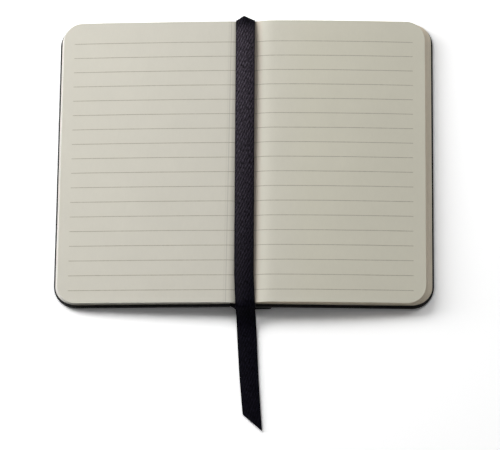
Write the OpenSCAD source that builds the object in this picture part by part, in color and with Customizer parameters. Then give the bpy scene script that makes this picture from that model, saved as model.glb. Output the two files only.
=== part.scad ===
// Open pocket notebook lying flat: hard black covers, cream ruled pages
// and a woven ribbon marker laid along the gutter.
//
// Frame: the origin is on the table under the spine strip, at mid height of the pages.
// +Z is up, +Y runs to the head of the pages and +X to the right-hand page.

/* [Pages] */
// Width of one leaf from its fold to its fore-edge
page_w = 90; // [80:1:110]
// Height of one leaf
page_l = 140; // [120:1:180]
// Radius of the two rounded corners of a leaf
page_corner_r = 9; // [4:0.5:14]
// Place of the gutter, measured from the middle of the spine strip
gutter_x = -1.5; // [-2:0.1:1]
// Thickness of the folded sections under the gutter
fold_t = 1.2; // [1:0.1:2.2]
// Thickness of the left-hand leaves at their fore-edge
left_edge_t = 2.8; // [1.6:0.1:4]
// Thickness of the left-hand leaves beside the gutter
left_inner_t = 1.95; // [1.5:0.05:4]
// Extra height of the left-hand leaves half way across
left_belly = 0.6; // [0:0.1:1.5]
// Distance over which the left-hand leaves roll down into the gutter
left_roll = 3; // [2:0.2:4]
// How far the top left-hand leaf is drawn back from the lowest one
left_fan = 1.2; // [0:0.1:3]
// Thickness of the right-hand leaves at their fore-edge
right_edge_t = 4; // [2:0.1:6]
// Thickness of the right-hand leaves beside the gutter
right_inner_t = 3.45; // [2.5:0.05:6]
// Extra height of the right-hand leaves half way across
right_belly = 1.2; // [0:0.1:2]
// Distance over which the right-hand leaves roll down into the gutter
right_roll = 7.2; // [5:0.2:9]
// How far the top right-hand leaf is drawn back from the lowest one
right_fan = 3.1; // [0:0.1:4]

/* [Ruling] */
// Distance from one line to the next
line_pitch = 7.26; // [5:0.02:7.3]
// Distance from the head edge to the first line
first_line = 10.5; // [8:0.5:14]
// Least blank margin under the last line
foot_margin = 5; // [4:0.5:12]
// How far the lines run in under the ribbon
line_under = 1; // [0.2:0.2:2]
// Breadth of a printed line
line_w = 0.3; // [0.2:0.05:0.6]
// Thickness that stands for the ink
line_t = 0.05; // [0.04:0.01:0.1]
// Blank margin between the lines and the left-hand fore-edge
left_margin = 5.2; // [3:0.2:12]
// Blank margin between the lines and the right-hand fore-edge
right_margin = 5.9; // [3:0.2:12]

/* [Covers] */
// Thickness of a cover board with its leatherette
board_t = 1.4; // [1.2:0.1:3]
// Slope of the boards, which rise from the table towards the spine
cover_tilt = 3; // [2.2:0.1:3.4]
// How far a board stands out past the fore-edge of the leaves
fore_overhang = 0.8; // [0.4:0.1:3]
// How far a board stands out past the head and the tail of the leaves
end_overhang = 1.2; // [0.4:0.1:3]
// How much rounder the corners of the covers are than an even border would make them
corner_ease = 1; // [0:0.25:1.5]
// How far the covers sit towards the tail from the middle of the leaves
cover_slip = 0.6; // [0:0.05:0.6]
// Distance between the folds of the lowest leaves on the two sides
fold_apart = 0.6; // [0:0.1:1.5]
// Thickness of the endpaper pasted inside a board
pastedown_t = 0.2; // [0.1:0.05:0.4]
// Bare border of leatherette round the pasted endpaper
turn_in = 1.5; // [1:0.1:4]
// Bare border of leatherette beside the hinge
hinge_border = 0.2; // [0.1:0.1:2]
// Air between the lowest leaf and the endpaper
leaf_gap = 0.15; // [0.1:0.05:0.3]

/* [Spine] */
// Breadth of the spine strip, as thick as the closed block and its boards
spine_w = 10; // [9:0.2:13]
// Thickness of the spine strip
spine_t = 0.9; // [0.6:0.1:1.2]
// Breadth of the leatherette joint between the strip and the front board
front_joint = 1.6; // [1.2:0.1:2.5]
// How far that joint is set back from both ends of the strip
joint_setback = 0.4; // [0.2:0.1:3]
// Thickness of the leatherette where it bends without a board
joint_t = 0.7; // [0.5:0.05:0.9]
// Slack of the rear joint that lies rolled under the back board
rear_roll = 7.8; // [5:0.2:9]
// How much narrower the lining of the folded sections is than the strip, on each side
lining_margin = 0.7; // [0.2:0.1:1.5]
// Thickness of that lining
lining_t = 0.3; // [0.2:0.05:0.5]
// Bare ends of the sections above and below the lining
lining_inset = 6; // [4:0.5:12]
// How far the folded sections hang below the tops of the boards
spine_sink = 0.85; // [0.6:0.05:1]

/* [Sewing] */
// Number of stitches that show in the gutter
stitch_count = 5; // [3:1:8]
// Length of one stitch
stitch_l = 14; // [8:0.5:14]
// Thickness of the thread
thread_d = 0.5; // [0.3:0.05:0.7]
// Flat floor of the gutter that the thread lies on
gutter_floor_w = 1; // [0.8:0.1:1.4]

/* [Ribbon] */
// Breadth of the ribbon across its curve
ribbon_w = 9.4; // [6:0.1:10]
// Thickness of the ribbon
ribbon_t = 0.35; // [0.25:0.05:0.5]
// Place of the ribbon's middle line half way down the pages
ribbon_x = -0.5; // [-1.5:0.1:0.5]
// Angle by which the ribbon leans on the pages
ribbon_lean = 0.3; // [-0.5:0.1:0.5]
// Length of the loose end over the table, to its longer corner
ribbon_tail = 61; // [30:1:90]
// How much shorter the loose end is at its left corner
ribbon_cut = 8.5; // [0:0.5:12]
// Angle by which the loose end drifts further to the right
ribbon_drift = 2.6; // [-6:0.2:8]
// Height of the loose end's tip over the table
ribbon_tip = 0.5; // [0.5:0.1:3]

/* [Hidden] */
$fn = 64;
// A gap that keeps two faces of one body apart
hair = 0.05;

lining_w = spine_w - 2 * lining_margin;

// Covers turn about lines at the inner edges of their boards
front_hinge_x = -spine_w / 2 - front_joint;
back_hinge_x = spine_w / 2 + 2 * hair;
// Fore-edges of the lowest leaves, the same way out on both sides of the middle
mid_x = (front_hinge_x + back_hinge_x) / 2;
left_fore_x = mid_x - fold_apart / 2 - page_w;
right_fore_x = mid_x + fold_apart / 2 + page_w;
left_span = gutter_x - left_fore_x;
right_span = right_fore_x - gutter_x;
// Boards: each lies on its outer edge and rises to its hinge line
front_outer_x = left_fore_x - fore_overhang;
back_outer_x = right_fore_x + fore_overhang;
board_w = (back_outer_x - back_hinge_x) / cos(cover_tilt);
board_l = page_l + 2 * end_overhang;
board_corner_r = page_corner_r + (fore_overhang + end_overhang) / 2 + corner_ease;
hinge_z = board_w * sin(cover_tilt);

// Height of the endpaper's face over the table, with the air above it
function seat_z(x, outer_x) =
    (board_t + pastedown_t) / cos(cover_tilt) + leaf_gap + abs(outer_x - x) * tan(cover_tilt);
// Underside of the folded sections, a rim wider than the lining, and the gutter's floor
lining_rim = 0.2;
spine_half = lining_w / 2 + lining_rim;
spine_z = seat_z(front_hinge_x, front_outer_x) - leaf_gap - spine_sink;
gutter_z = spine_z + fold_t;

// Side is -1 on the left of the gutter and 1 on the right
function side_outer(side) = side < 0 ? front_outer_x : back_outer_x;
function side_fore(side) = side < 0 ? left_fore_x : right_fore_x;
function side_span(side) = side < 0 ? left_span : right_span;
function side_edge_t(side) = side < 0 ? left_edge_t : right_edge_t;
function side_inner_t(side) = side < 0 ? left_inner_t : right_inner_t;
function side_belly(side) = side < 0 ? left_belly : right_belly;
function side_roll(side) = side < 0 ? left_roll : right_roll;
function side_fan(side) = side < 0 ? left_fan : right_fan;
function side_hinge(side) = side < 0 ? front_hinge_x : back_hinge_x;

// Thickness of the leaves at a share u of the way to the fore-edge, before the roll
function leaves_t(side, u) =
    side_inner_t(side) + (side_edge_t(side) - side_inner_t(side)) * u + side_belly(side) * sin(180 * u);
// Top face of the leaves: the stack on its board, rolled down into the gutter by a bell curve
function top_z(side, x) =
    let (
        u = min(1, abs(x - gutter_x) / side_span(side)),
        s = max(0, abs(x - gutter_x) - gutter_floor_w / 2),
        stack_z = seat_z(x, side_outer(side)) + leaves_t(side, u)
    )
    stack_z + (gutter_z - stack_z) * exp(-pow(s / side_roll(side), 2));
// Underside of the leaves: on the endpaper, then down to the folded sections
function under_z(side, x) =
    let (
        bend_x = side_hinge(side) + side * hair,
        bend_z = seat_z(bend_x, side_outer(side)),
        away = abs(x)
    )
    away >= abs(bend_x) ? seat_z(x, side_outer(side))
    : away <= spine_half ? spine_z
    : spine_z + (bend_z - spine_z) * (away - spine_half) / (abs(bend_x) - spine_half);
// Half the height of a leaf at a distance from its own fore-edge
function half_l(e) =
    let (c = max(0, page_corner_r - e))
    page_l / 2 - page_corner_r + sqrt(max(0, page_corner_r * page_corner_r - c * c));

// Places of the columns of points on the lowest leaf, from the gutter outwards
fold_steps = 3;
across_steps = 16;
corner_steps = 9;
// Power that crowds the columns towards the gutter
crowding = 1.5;
function column_x(side) =
    let (
        fore = side_fore(side),
        floor_x = gutter_x + side * gutter_floor_w / 2,
        spine_x = side * spine_half,
        bend_x = side_hinge(side) + side * hair,
        corner_x = fore - side * page_corner_r
    )
    concat(
        [for (i = [0:fold_steps - 1]) floor_x + (spine_x - floor_x) * i / fold_steps],
        [spine_x, (spine_x + bend_x) / 2],
        [for (i = [0:across_steps - 1]) bend_x + (corner_x - bend_x) * pow(i / across_steps, crowding)],
        [for (i = [0:corner_steps]) fore - side * page_corner_r * (1 - sin(90 * i / corner_steps))]
    );
// A leaf at the share v of the stack is drawn back, most at its fore-edge
function drawn_x(side, x, v) = x - side * side_fan(side) * v * pow(abs(x - gutter_x) / side_span(side), 2);

left_columns = column_x(-1);
right_columns = column_x(1);
// All columns from the left fore-edge to the right one, each as [side, x on the lowest leaf]
columns = concat(
    [for (i = [len(left_columns) - 1:-1:0]) [-1, left_columns[i]]],
    [for (x = right_columns) [1, x]]
);
levels = 5;
function leaf_point(column, level, end) =
    let (
        v = level / levels,
        side = column[0],
        x = drawn_x(side, column[1], v),
        low = under_z(side, column[1]),
        high = top_z(side, drawn_x(side, column[1], 1)),
        e = abs(drawn_x(side, side_fore(side), v) - x)
    )
    [x, end * half_l(e), low + (high - low) * v];

module page_block() {
    rows = levels + 1;
    last = len(columns) - 1;
    points = [for (c = columns) for (k = [0:levels]) for (end = [-1, 1]) leaf_point(c, k, end)];
    function at(c, k, end) = (c * rows + k) * 2 + end;
    top = [for (c = [0:last - 1])
        [at(c, levels, 0), at(c, levels, 1), at(c + 1, levels, 1), at(c + 1, levels, 0)]];
    under = [for (c = [0:last - 1]) [at(c, 0, 0), at(c + 1, 0, 0), at(c + 1, 0, 1), at(c, 0, 1)]];
    tail = [for (c = [0:last - 1]) for (k = [0:levels - 1]) for (f = [0, 1])
        f == 0 ? [at(c, k, 0), at(c, k + 1, 0), at(c + 1, k + 1, 0)]
        : [at(c, k, 0), at(c + 1, k + 1, 0), at(c + 1, k, 0)]];
    head = [for (c = [0:last - 1]) for (k = [0:levels - 1]) for (f = [0, 1])
        f == 0 ? [at(c, k, 1), at(c + 1, k + 1, 1), at(c, k + 1, 1)]
        : [at(c, k, 1), at(c + 1, k, 1), at(c + 1, k + 1, 1)]];
    left = [for (k = [0:levels - 1]) [at(0, k, 0), at(0, k, 1), at(0, k + 1, 1), at(0, k + 1, 0)]];
    right = [for (k = [0:levels - 1])
        [at(last, k, 0), at(last, k + 1, 0), at(last, k + 1, 1), at(last, k, 1)]];
    color("#d9d4c2")
        polyhedron(points, concat(top, under, tail, head, left, right), convexity = 4);
}

// One printed line: a thin band that follows the top leaf from x_from to x_to
module line_band(side, x_from, x_to) {
    places = [for (x = side < 0 ? left_columns : right_columns) drawn_x(side, x, 1)];
    inner = [for (x = places) if (side * x > side * x_from && side * x < side * x_to) x];
    xs = concat([x_from], inner, [x_to]);
    function within(i, x) = side * places[i] <= side * x && side * x <= side * places[i + 1];
    function face_z(x) =
        let (
            k = [for (i = [0:len(places) - 2]) if (within(i, x)) i][0],
            a = places[k],
            b = places[k + 1]
        )
        top_z(side, a) + (top_z(side, b) - top_z(side, a)) * (x - a) / (b - a);
    low = [for (x = xs) [x, face_z(x)]];
    high = [for (i = [len(xs) - 1:-1:0]) [xs[i], face_z(xs[i]) + line_t]];
    rotate([90, 0, 0])
        linear_extrude(height = line_w, center = true)
            polygon(concat(low, high));
}

module ruled_lines() {
    // The lines run in under the ribbon
    left_inner = ribbon_x - ribbon_w / 2 + line_under;
    right_inner = ribbon_x + ribbon_w / 2 - line_under;
    line_count = 1 + floor((page_l - first_line - foot_margin) / line_pitch);
    left_outer = drawn_x(-1, left_fore_x, 1) + left_margin;
    right_outer = drawn_x(1, right_fore_x, 1) - right_margin;
    color("#a9a698")
        for (i = [0:line_count - 1])
            translate([0, page_l / 2 - first_line - i * line_pitch, 0]) {
                line_band(-1, left_inner, left_outer);
                line_band(1, right_inner, right_outer);
            }
}

module sewing_thread() {
    pitch = page_l / stitch_count;
    color("#efece0")
        for (i = [0:stitch_count - 1])
            translate([gutter_x, (i + 0.5) * pitch - page_l / 2, gutter_z + thread_d / 2])
                rotate([90, 0, 0])
                    cylinder(h = stitch_l, d = thread_d, center = true, $fn = 24);
}

module spine_lining() {
    length = page_l - 2 * lining_inset;
    color("#cfcabb")
        translate([-lining_w / 2, -length / 2, spine_z - lining_t])
            cube([lining_w, length, lining_t]);
}

// Ribbon: glued under the lining at the head, over the head edge, along the gutter,
// and out over the tail edge, from where the stiff cloth slopes down towards the table
ribbon_glue_z = spine_z - lining_t - ribbon_t / 2 - hair;
ribbon_bank = 0.6;
// Its left edge lies on the left page, highest where the lean takes it furthest out
ribbon_left_x = ribbon_x - page_l / 2 * tan(ribbon_lean) - ribbon_w / 2;
ribbon_run_z = top_z(-1, ribbon_left_x) + ribbon_bank + ribbon_t / 2 + hair;
head_y = page_l / 2;
tail_y = -page_l / 2;
ribbon_end_y = tail_y - ribbon_tail;
// Heights along the loose end: a share of the drop from the pages to the tip
ribbon_drop = ribbon_run_z - ribbon_tip;
function loose_z(share) = ribbon_run_z - ribbon_drop * share;
// Middle line of the ribbon, each point as [y, z, crown of the cross curve, bank, peak], where
// a peak of 1 folds the crown to a ridge
ribbon_route = [
    [head_y - 14, ribbon_glue_z, 0, 0, 0],
    [head_y - 7, ribbon_glue_z, 0, 0, 0],
    [head_y - 1, ribbon_glue_z, 0, 0, 0.2],
    [head_y + 0.3, ribbon_glue_z + 0.7, 0.9, 0, 0.7],
    [head_y + 0.5, ribbon_glue_z + 2.2, 2.3, 0, 1],
    [head_y + 0.3, ribbon_run_z - 1, 2.5, 0.1, 1],
    [head_y - 1, ribbon_run_z, 1.4, 0.3, 0.6],
    [head_y - 6, ribbon_run_z + 0.15, 0.9, ribbon_bank + 0.1, 0],
    [head_y - 16, ribbon_run_z + 0.35, 0.9, ribbon_bank + 0.35, 0],
    [head_y - 40, ribbon_run_z + 0.35, 0.9, ribbon_bank + 0.35, 0],
    [0, ribbon_run_z + 0.25, 0.9, ribbon_bank + 0.25, 0],
    [tail_y + 40, ribbon_run_z + 0.2, 0.9, ribbon_bank + 0.2, 0],
    [tail_y + 18, ribbon_run_z + 0.15, 0.9, ribbon_bank + 0.15, 0],
    [tail_y + 5, ribbon_run_z, 0.9, ribbon_bank, 0],
    [tail_y - 0.6, loose_z(0.02), 0.9, 0.3, 0],
    [tail_y - 3, loose_z(0.25), 0.8, 0.3, 0],
    [tail_y - 5.5, loose_z(0.58), 0.7, 0.3, 0],
    [tail_y - 8.5, loose_z(0.84), 0.6, 0.25, 0],
    [tail_y - 12.5, loose_z(0.95), 0.5, 0.2, 0],
    [tail_y - 20, loose_z(0.985), 0.4, 0.15, 0],
    [tail_y - (20 + ribbon_tail) / 2, loose_z(0.995), 0.35, 0.12, 0],
    [ribbon_end_y, loose_z(1), 0.3, 0.12, 0]
];
ribbon_ring_steps = 4;
route_step = 0.02;
// Smooth curve through the route, with each tangent set by the two points beside it
function blend(a, b, c, d, f) =
    0.5 * (2 * b + (c - a) * f + (2 * a - 5 * b + 4 * c - d) * f * f + (3 * b - a - 3 * c + d) * f * f * f);
function on_route(t) =
    let (
        n = len(ribbon_route) - 1,
        i = min(n - 1, floor(t)),
        f = t - i
    )
    blend(
        ribbon_route[max(0, i - 1)], ribbon_route[i],
        ribbon_route[i + 1], ribbon_route[min(n, i + 2)], f
    );
// Share of the way from one height to a lower one, held between 0 and 1
function share_down(y, from_y, to_y) = min(1, max(0, (from_y - y) / (from_y - to_y)));
// The ribbon turns aside near the tail of the pages, and curls a little further at its tip
drift_y = tail_y + 14;
curl_y = tail_y - 25;
tip_curl = 0.7;
function ribbon_mid_x(y) =
    ribbon_x - y * tan(ribbon_lean) + max(0, drift_y - y) * tan(ribbon_drift)
    + tip_curl * pow(share_down(y, curl_y, ribbon_end_y), 2);
function ribbon_turn(y) = ribbon_lean + ribbon_drift * share_down(y, drift_y, tail_y);
// How far a point is drawn back by the slanting cut, which is spread along the loose end,
// with v from -1 at the left edge to 1 at the right
function cut_back(y, v) = ribbon_cut * share_down(y, tail_y - 14, ribbon_end_y) * (1 - v) / 2;
// A point of the ribbon at place t on its route, lifted off its middle face
function ribbon_point(t, v, lift) =
    let (
        p = on_route(t),
        step = on_route(t + route_step) - on_route(max(0, t - route_step)),
        along = [step[0], step[1]] / norm([step[0], step[1]]),
        normal = [along[1], -along[0]],
        out = p[2] * ((1 - p[4]) * (1 - v * v) + p[4] * (1 - abs(v))) + lift,
        turn = ribbon_turn(p[0]),
        reach = v * ribbon_w / 2
    )
    [
        ribbon_mid_x(p[0]) + reach * cos(turn),
        p[0] + normal[0] * out + reach * sin(turn) + cut_back(p[0], v),
        p[1] + normal[1] * out + v * p[3]
    ];

module ribbon_marker() {
    across = [-1, -0.5, 0, 0.5, 1];
    n = len(across);
    rings = (len(ribbon_route) - 1) * ribbon_ring_steps;
    ring_points = 2 * n;
    points = [
        for (i = [0:rings])
            for (j = [0:ring_points - 1])
                j < n ? ribbon_point(i / ribbon_ring_steps, across[j], ribbon_t / 2)
                : ribbon_point(i / ribbon_ring_steps, across[ring_points - 1 - j], -ribbon_t / 2)
    ];
    sides = [
        for (i = [0:rings - 1]) for (j = [0:ring_points - 1]) for (f = [0, 1])
            let (
                a = i * ring_points + j,
                b = i * ring_points + (j + 1) % ring_points,
                c = a + ring_points,
                d = b + ring_points
            )
            f == 0 ? [a, b, d] : [a, d, c]
    ];
    start = [for (j = [0:n - 2]) for (f = [0, 1])
        f == 0 ? [j, ring_points - 1 - j, j + 1]
        : [j + 1, ring_points - 1 - j, ring_points - 2 - j]];
    base = rings * ring_points;
    finish = [for (j = [0:n - 2]) for (f = [0, 1])
        f == 0 ? [base + j, base + j + 1, base + ring_points - 1 - j]
        : [base + j + 1, base + ring_points - 2 - j, base + ring_points - 1 - j]];
    color("#2b2930")
        polyhedron(points, concat(sides, start, finish), convexity = 6);
}

// The covers and the spine strip sit a little towards the tail
module in_covers() {
    translate([0, -cover_slip, 0])
        children();
}

// Sweeps a section drawn in X and Z along the covers
module along_covers(length) {
    in_covers()
        rotate([90, 0, 0])
            linear_extrude(height = length, center = true)
                children();
}

// Spine strip: flat on the table, with the front joint rising to the front board
module spine_strip() {
    half = spine_w / 2;
    lip_x = front_hinge_x + hair;
    lip_z = hinge_z - 2 * hair;
    color("#1d1b1c") {
        along_covers(board_l)
            translate([-half, 0])
                square([spine_w, spine_t]);
        along_covers(board_l - 2 * joint_setback)
            polygon([
                [-half, 0], [joint_t - half, 0], [joint_t - half, spine_t],
                [lip_x + joint_t, lip_z], [lip_x, lip_z]
            ]);
    }
}

// Board seen from above, lying along +X from its outer edge, corners round at that edge
module board_outline(w, l, r) {
    translate([r, -l / 2])
        square([w - r, l]);
    translate([0, r - l / 2])
        square([w, l - 2 * r]);
    for (end = [-1, 1])
        translate([r, end * (l / 2 - r)])
            circle(r);
}

// Puts a flat piece drawn from its outer edge at its place on a sloping board
module on_board(side, lift) {
    in_covers()
        translate([side_outer(side), 0, 0])
            mirror([side > 0 ? 1 : 0, 0, 0])
                rotate([0, -cover_tilt, 0])
                    translate([0, 0, lift])
                        children();
}

module board(side) {
    on_board(side, 0)
        linear_extrude(board_t)
            board_outline(board_w, board_l, board_corner_r);
}

module pastedown(side) {
    on_board(side, board_t)
        linear_extrude(pastedown_t)
            translate([turn_in, 0])
                board_outline(
                    board_w - turn_in - hinge_border, board_l - 2 * turn_in, board_corner_r - turn_in
                );
}

module front_cover() {
    color("#1d1b1c")
        board(-1);
}

module back_cover() {
    color("#1d1b1c")
        board(1);
}

module front_pastedown() {
    color("#d6d0bd")
        pastedown(-1);
}

module back_pastedown() {
    color("#d6d0bd")
        pastedown(1);
}

// Rear joint: the slack leatherette rolled back under the inner edge of the back board
module rear_joint() {
    start_x = back_hinge_x + hair;
    turn_x = back_hinge_x + rear_roll;
    function board_under(x) = (back_outer_x - x) * tan(cover_tilt) - hair;
    turn_top = board_under(turn_x);
    turn_r = turn_top / 2;
    bend_x = turn_x - turn_r;
    slit_r = turn_r - joint_t;
    outer = [for (a = [-90:15:90]) [bend_x + turn_r * cos(a), turn_r + turn_r * sin(a)]];
    slit = [for (a = [90:-15:-90]) [bend_x + slit_r * cos(a), turn_r + slit_r * sin(a)]];
    color("#1d1b1c")
        along_covers(board_l)
            polygon(concat(
                [[start_x, 0]], outer, [[start_x, board_under(start_x)]],
                [[start_x, board_under(start_x) - joint_t]], slit, [[start_x, joint_t]]
            ));
}

page_block();
ruled_lines();
sewing_thread();
spine_lining();
ribbon_marker();
spine_strip();
front_cover();
front_pastedown();
back_cover();
back_pastedown();
rear_joint();
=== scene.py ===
# %% [markdown]
# # An open pocket notebook
# A small hard-cover notebook lies open on a pale table, with a woven ribbon in its
# gutter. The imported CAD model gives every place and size, and this script dresses it:
# numpy works out each piece as a surface of two parameters, and shader nodes make each
# finish. The frame comes first, because everything rides on it.

from functools import partialmethod
from types import SimpleNamespace

import bpy
import numpy as np
from mathutils import Matrix


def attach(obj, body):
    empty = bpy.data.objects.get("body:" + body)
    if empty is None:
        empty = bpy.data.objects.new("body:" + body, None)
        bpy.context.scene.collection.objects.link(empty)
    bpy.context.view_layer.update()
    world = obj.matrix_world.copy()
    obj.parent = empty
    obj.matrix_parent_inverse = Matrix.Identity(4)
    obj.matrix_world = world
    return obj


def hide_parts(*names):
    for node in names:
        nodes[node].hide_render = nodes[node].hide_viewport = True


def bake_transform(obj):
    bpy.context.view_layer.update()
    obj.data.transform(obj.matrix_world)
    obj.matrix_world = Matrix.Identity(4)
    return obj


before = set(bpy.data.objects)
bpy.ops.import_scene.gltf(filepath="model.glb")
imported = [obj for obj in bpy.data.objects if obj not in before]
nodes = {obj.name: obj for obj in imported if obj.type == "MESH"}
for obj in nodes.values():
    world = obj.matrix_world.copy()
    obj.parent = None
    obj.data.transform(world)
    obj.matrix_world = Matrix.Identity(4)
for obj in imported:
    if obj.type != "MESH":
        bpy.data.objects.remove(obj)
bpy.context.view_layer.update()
print("nodes:", sorted(nodes))

# %% [markdown]
# ## Camera
# The photograph is taken from above and a little from the tail, with a long lens. Its
# direction, roll and distance come from a fit to the printed lines and the page edges.
# The camera's matrix is built from its three axes and its place, which is exact, while
# aiming by eye or by a constraint would drift.

# %% Camera from the photograph
MM = 0.001
IMAGE_W = 500
SENSOR_MM = 36
PIXELS_PER_MM = 2.0745
EYE_DISTANCE = 1211
tail_angle, side_angle, roll = np.radians([13.53, 2.58, 0.65])
target = np.array([2.061, -30.287, 0])


def unit(vectors):
    """Vectors, which lie along the last axis, scaled to a length of one."""
    return vectors / np.maximum(np.linalg.norm(vectors, axis=-1, keepdims=True), 1e-9)


towards_eye = np.array([np.sin(side_angle), -np.sin(tail_angle), 0])
towards_eye[2] = np.sqrt(1 - (towards_eye**2).sum())
level_right = unit(np.cross([0, 1, 0], towards_eye))
level_up = np.cross(towards_eye, level_right)
right = np.cos(roll) * level_right + np.sin(roll) * level_up
up = np.cos(roll) * level_up - np.sin(roll) * level_right


def stacked(*parts):
    """Arrays or numbers, brought to one shape and stacked along a new last axis."""
    return np.stack(np.broadcast_arrays(*parts), -1)


def placed(x_axis, y_axis, z_axis, place):
    """Matrix whose columns are three axes and a place given in millimetres."""
    matrix = np.eye(4)
    matrix[:3, :3] = np.column_stack([x_axis, y_axis, z_axis])
    matrix[:3, 3] = np.asarray(place) * MM
    return Matrix(matrix.tolist())


def add_object(name, data):
    """Makes an object of some data and links it to the scene."""
    made = bpy.data.objects.new(name, data)
    bpy.context.scene.collection.objects.link(made)
    return made


camera = add_object("camera", bpy.data.cameras.new("camera"))
camera.matrix_world = placed(right, up, towards_eye, target + EYE_DISTANCE * towards_eye)
camera.data.sensor_width = SENSOR_MM
camera.data.lens = PIXELS_PER_MM * EYE_DISTANCE * SENSOR_MM / IMAGE_W
camera.data.clip_start, camera.data.clip_end = 0.01, 100
bpy.context.scene.camera = camera
print("lens mm:", round(camera.data.lens, 2))

# %% [markdown]
# ## From arrays to meshes
# Every new piece is a closed skin. Its points come as numpy arrays in millimetres, and
# its faces as arrays of point numbers. foreach_set hands whole arrays to Blender, which
# is far quicker than adding points one by one. The volume that the faces enclose tells
# whether they point outwards, so a skin that is inside out is turned here.

# %% Mesh helpers
SHARP_ANGLE = np.radians(38)


def volume_of(points, faces):
    """Volume inside a closed skin: each face is a fan of triangles from its first corner,
    and each triangle adds the signed volume between it and the origin."""
    return sum(
        float((points[f[:, :1]] * np.cross(points[f[:, 1:-1]], points[f[:, 2:]])).sum() / 6)
        for f in faces
    )


def put_mesh(name, points, faces, uv=None, masks=None, sharp=True):
    """Makes an object at the origin from points (n, 3) in mm and a list of face arrays.
    uv (n, 2) in mm and masks {name: (n,)} are stored on the corners and on the points."""
    volume = volume_of(points, faces)
    if volume < 0:
        faces = [f[:, ::-1] for f in faces]
    loops = np.concatenate([f.ravel() for f in faces]).astype(np.int32)
    sizes = np.concatenate([np.full(len(f), f.shape[1]) for f in faces])
    mesh = bpy.data.meshes.new(name)
    mesh.vertices.add(len(points))
    mesh.vertices.foreach_set("co", (points * MM).astype(np.float32).ravel())
    mesh.loops.add(len(loops))
    mesh.loops.foreach_set("vertex_index", loops)
    mesh.polygons.add(len(sizes))
    starts = np.concatenate([[0], np.cumsum(sizes)[:-1]]).astype(np.int32)
    mesh.polygons.foreach_set("loop_start", starts)
    mesh.update(calc_edges=True)
    mesh.polygons.foreach_set("use_smooth", np.ones(len(sizes), bool))
    if sharp:
        mesh.set_sharp_from_angle(angle=SHARP_ANGLE)
    if uv is not None:
        layer = mesh.uv_layers.new(name="cloth_mm")
        layer.data.foreach_set("uv", uv[loops].astype(np.float32).ravel())
    for mask, values in (masks or {}).items():
        layer = mesh.attributes.new(mask, "FLOAT", "POINT")
        layer.data.foreach_set("value", np.asarray(values, np.float32).ravel())
    mesh.validate()
    print(f"{name}: {len(points)} points, {len(sizes)} faces, {abs(volume):.1f} mm3")
    return add_object(name, mesh)


def grid_faces(rows, columns, closed=False):
    """Quads of a grid of points numbered row by row, closed across its columns if asked."""
    at = np.arange(rows * columns).reshape(rows, columns)
    if closed:
        at = np.concatenate([at, at[:, :1]], 1)
    return stacked(at[:-1, :-1], at[:-1, 1:], at[1:, 1:], at[1:, :-1]).reshape(-1, 4)


def tubes(name, rings, **extra):
    """One skin of separate tubes through rings (tubes, n, m, 3): quads from ring to ring,
    and a flat cap at each end."""
    count, n, m = rings.shape[:3]
    shift = (np.arange(count) * n * m)[:, None, None]
    cap = np.arange(m)
    faces = [grid_faces(n, m, closed=True) + shift, cap[::-1] + shift, cap + (n - 1) * m + shift]
    faces = [f.reshape(-1, f.shape[-1]) for f in faces]
    return put_mesh(name, rings.reshape(-1, 3), faces, **extra)


def border_of(rows, columns):
    """Numbers of the border points of a grid, once round."""
    at = np.arange(rows * columns).reshape(rows, columns)
    return np.concatenate([at[0], at[1:, -1], at[-1, -2::-1], at[-2:0:-1, 0]])


def slab(name, upper, lower, wall=np.empty((0, 3)), **extra):
    """Closed slab between two grids (rows, columns, 3) that share their layout. wall
    (levels, border, 3) holds the rings of points between their two borders."""
    rows, columns = upper.shape[:2]
    count, border = rows * columns, border_of(rows, columns)
    points = np.concatenate([part.reshape(-1, 3) for part in (upper, lower, wall)])
    levels = np.arange(2 * count, len(points)).reshape(-1, len(border))
    rings = np.concatenate([border[None], levels, border[None] + count])
    quads = rings.ravel()[grid_faces(*rings.shape, closed=True)]
    face = grid_faces(rows, columns)
    return put_mesh(name, points, [face, face[:, ::-1] + count, quads[:, ::-1]], **extra)


# %% [markdown]
# ## Shape of the leaves
# Each half of the open book is a stack of leaves that rests on its sloping board, swells
# half way across, and rolls down into the gutter. The sizes and formulas are those of the
# CAD solid, in millimetres. Written as functions of x, they place the top leaf, the
# printed lines and the ribbon on one surface.

# %% Sizes of the book
PAGE_W, PAGE_L, CORNER_R = 90, 140, 9
GUTTER_X, FOLD_T, FLOOR_HALF = -1.5, 1.2, 0.5
BOARD_T, PASTE_T, LEAF_GAP = 1.4, 0.2, 0.15
FORE_OVERHANG, END_OVERHANG, FOLD_APART = 0.8, 1.2, 0.6
COVER_SLIP, JOINT_SETBACK, CORNER_EASE = 0.6, 0.4, 1
SPINE_W, SPINE_T, JOINT_T, FRONT_JOINT, REAR_ROLL = 10, 0.9, 0.7, 1.6, 7.8
SPINE_SINK, LINING_W, LINING_T, HAIR = 0.85, 8.6, 0.3, 0.05
# Half the width over which the leaves lie level on the lining
LEVEL_HALF = LINING_W / 2 + 0.2
TILT = np.radians(3)

front_hinge_x = -SPINE_W / 2 - FRONT_JOINT
back_hinge_x = SPINE_W / 2 + 2 * HAIR
middle_x = (front_hinge_x + back_hinge_x) / 2
left_fore_x = middle_x - FOLD_APART / 2 - PAGE_W
right_fore_x = middle_x + FOLD_APART / 2 + PAGE_W
board_w = (right_fore_x + FORE_OVERHANG - back_hinge_x) / np.cos(TILT)
board_l = PAGE_L + 2 * END_OVERHANG
board_r = CORNER_R + (FORE_OVERHANG + END_OVERHANG) / 2 + CORNER_EASE
hinge_z = board_w * np.sin(TILT)

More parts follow.
